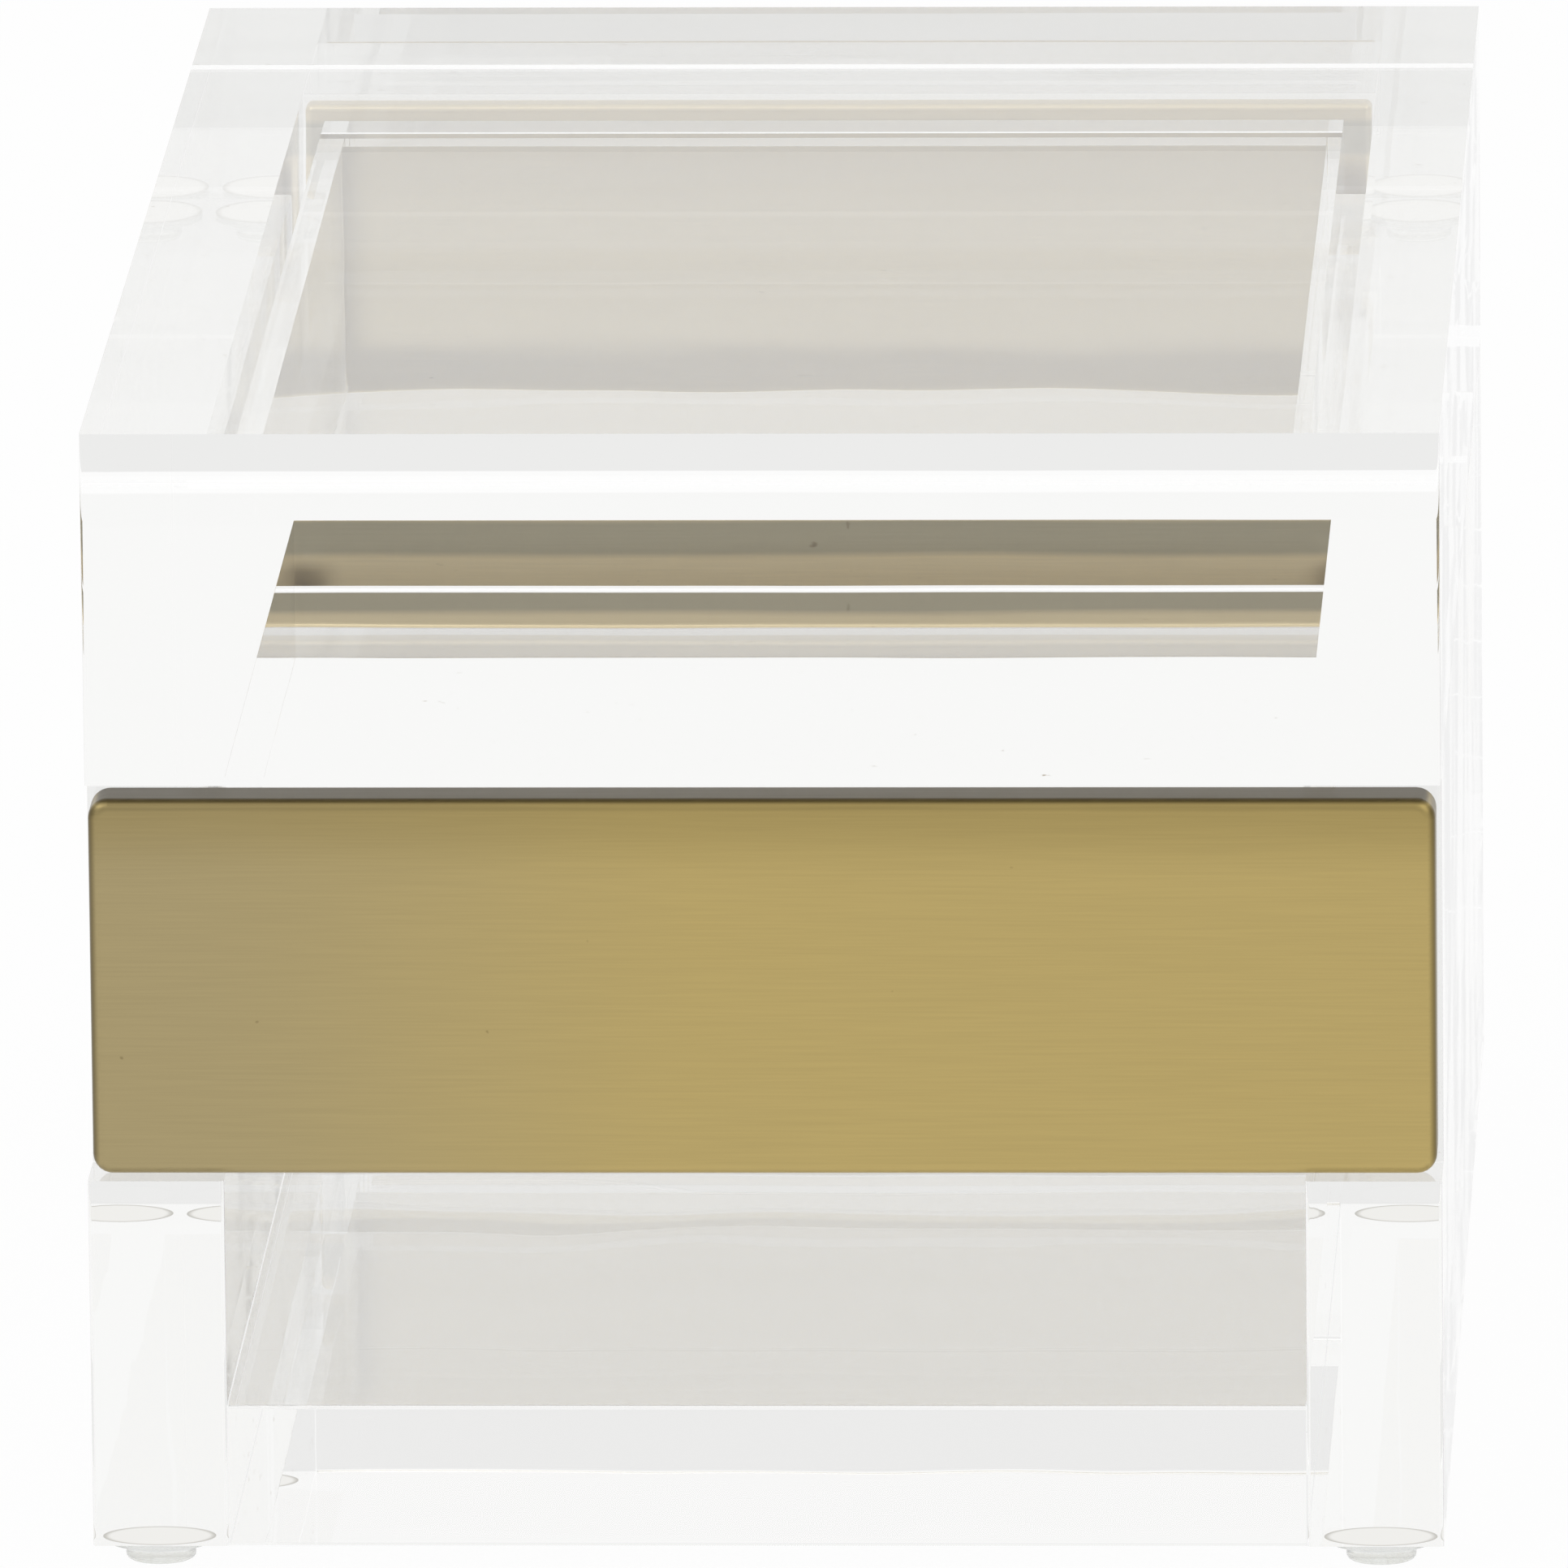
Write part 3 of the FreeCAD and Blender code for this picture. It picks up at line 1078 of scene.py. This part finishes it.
@dataclass
class Camera:
    """A long lens, a little above and to the right of the front.

    Angles are in degrees. focal_pixels is the focal length as a count of the
    picture's pixels, image_pixels the picture's width and sensor its width in
    millimetres.
    """

    azimuth: float = 2.55
    elevation: float = 13.05
    roll: float = -0.6
    distance: float = 2.1
    focal_pixels: float = 35550.0
    image_pixels: float = 1932.0
    sensor: float = 36.0
    farthest: float = 100.0
    aim: tuple[float, float, float] = (-1.7 * MM, 0.0, 39.4 * MM)

    def build(self) -> bpy.types.Object:
        """Add the camera and make it the scene's.

        Returns:
            The camera.
        """
        turn = math.radians(self.azimuth)
        lift = math.radians(self.elevation)
        outward = Vector((math.sin(turn) * math.cos(lift), -math.cos(turn) * math.cos(lift),
                          math.sin(lift)))
        deselect_all()
        bpy.ops.object.camera_add(location=Vector(self.aim) + outward * self.distance)
        camera = bpy.context.object
        camera.name = "view_camera"
        facing = (-outward).to_track_quat("-Z", "Y")
        about_view = Matrix.Rotation(math.radians(self.roll), 4, "Z")
        camera.rotation_euler = (facing.to_matrix().to_4x4() @ about_view).to_euler()
        camera.data.sensor_width = self.sensor
        camera.data.lens = self.focal_pixels / self.image_pixels * self.sensor
        camera.data.clip_end = self.farthest
        bpy.context.scene.camera = camera
        return camera


def allow_clear_depth() -> None:
    """Let light pass through as many clear faces as the box has in a row."""
    cycles = bpy.context.scene.cycles
    cycles.max_bounces = CLEAR_FACES
    cycles.transmission_bounces = CLEAR_FACES
    cycles.glossy_bounces = SHINY_FACES
    cycles.transparent_max_bounces = JOINT_FACES


def main() -> None:
    """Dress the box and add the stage."""
    logging.basicConfig(level=logging.INFO, format="%(message)s")
    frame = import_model()
    frame_box = tuple(Vector(corner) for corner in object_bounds())
    housing = AcrylicGroup("housing", ("base_plate", "lower_wall_left", "lower_wall_right",
                                       "lower_back_wall", "upper_wall_left",
                                       "upper_wall_right", "upper_back_wall"),
                           bumpers=Bumpers.nodes,
                           finish=CastAcrylic(mark_level=0.66))
    tray = AcrylicGroup("tray", ("tray_floor", "tray_side_left", "tray_side_right",
                                 "tray_front_panel", "tray_back_panel"))
    lid = AcrylicGroup("lid", ("lid_slab", "lid_locating_block"),
                       scraped=(("lid_slab", SLAB_EDGE_RADIUS),
                                ("lid_locating_block", BLOCK_EDGE_RADIUS)))
    for group in (housing, tray, lid):
        group.build(frame)
    BrassWork().build(frame)
    Bumpers().build()
    centre = (frame_box[0] + frame_box[1]) / 2
    Studio().build(centre)
    Camera().build()
    allow_clear_depth()
    bpy.context.scene.view_settings.view_transform = "Standard"


if __name__ == "__main__":
    main()
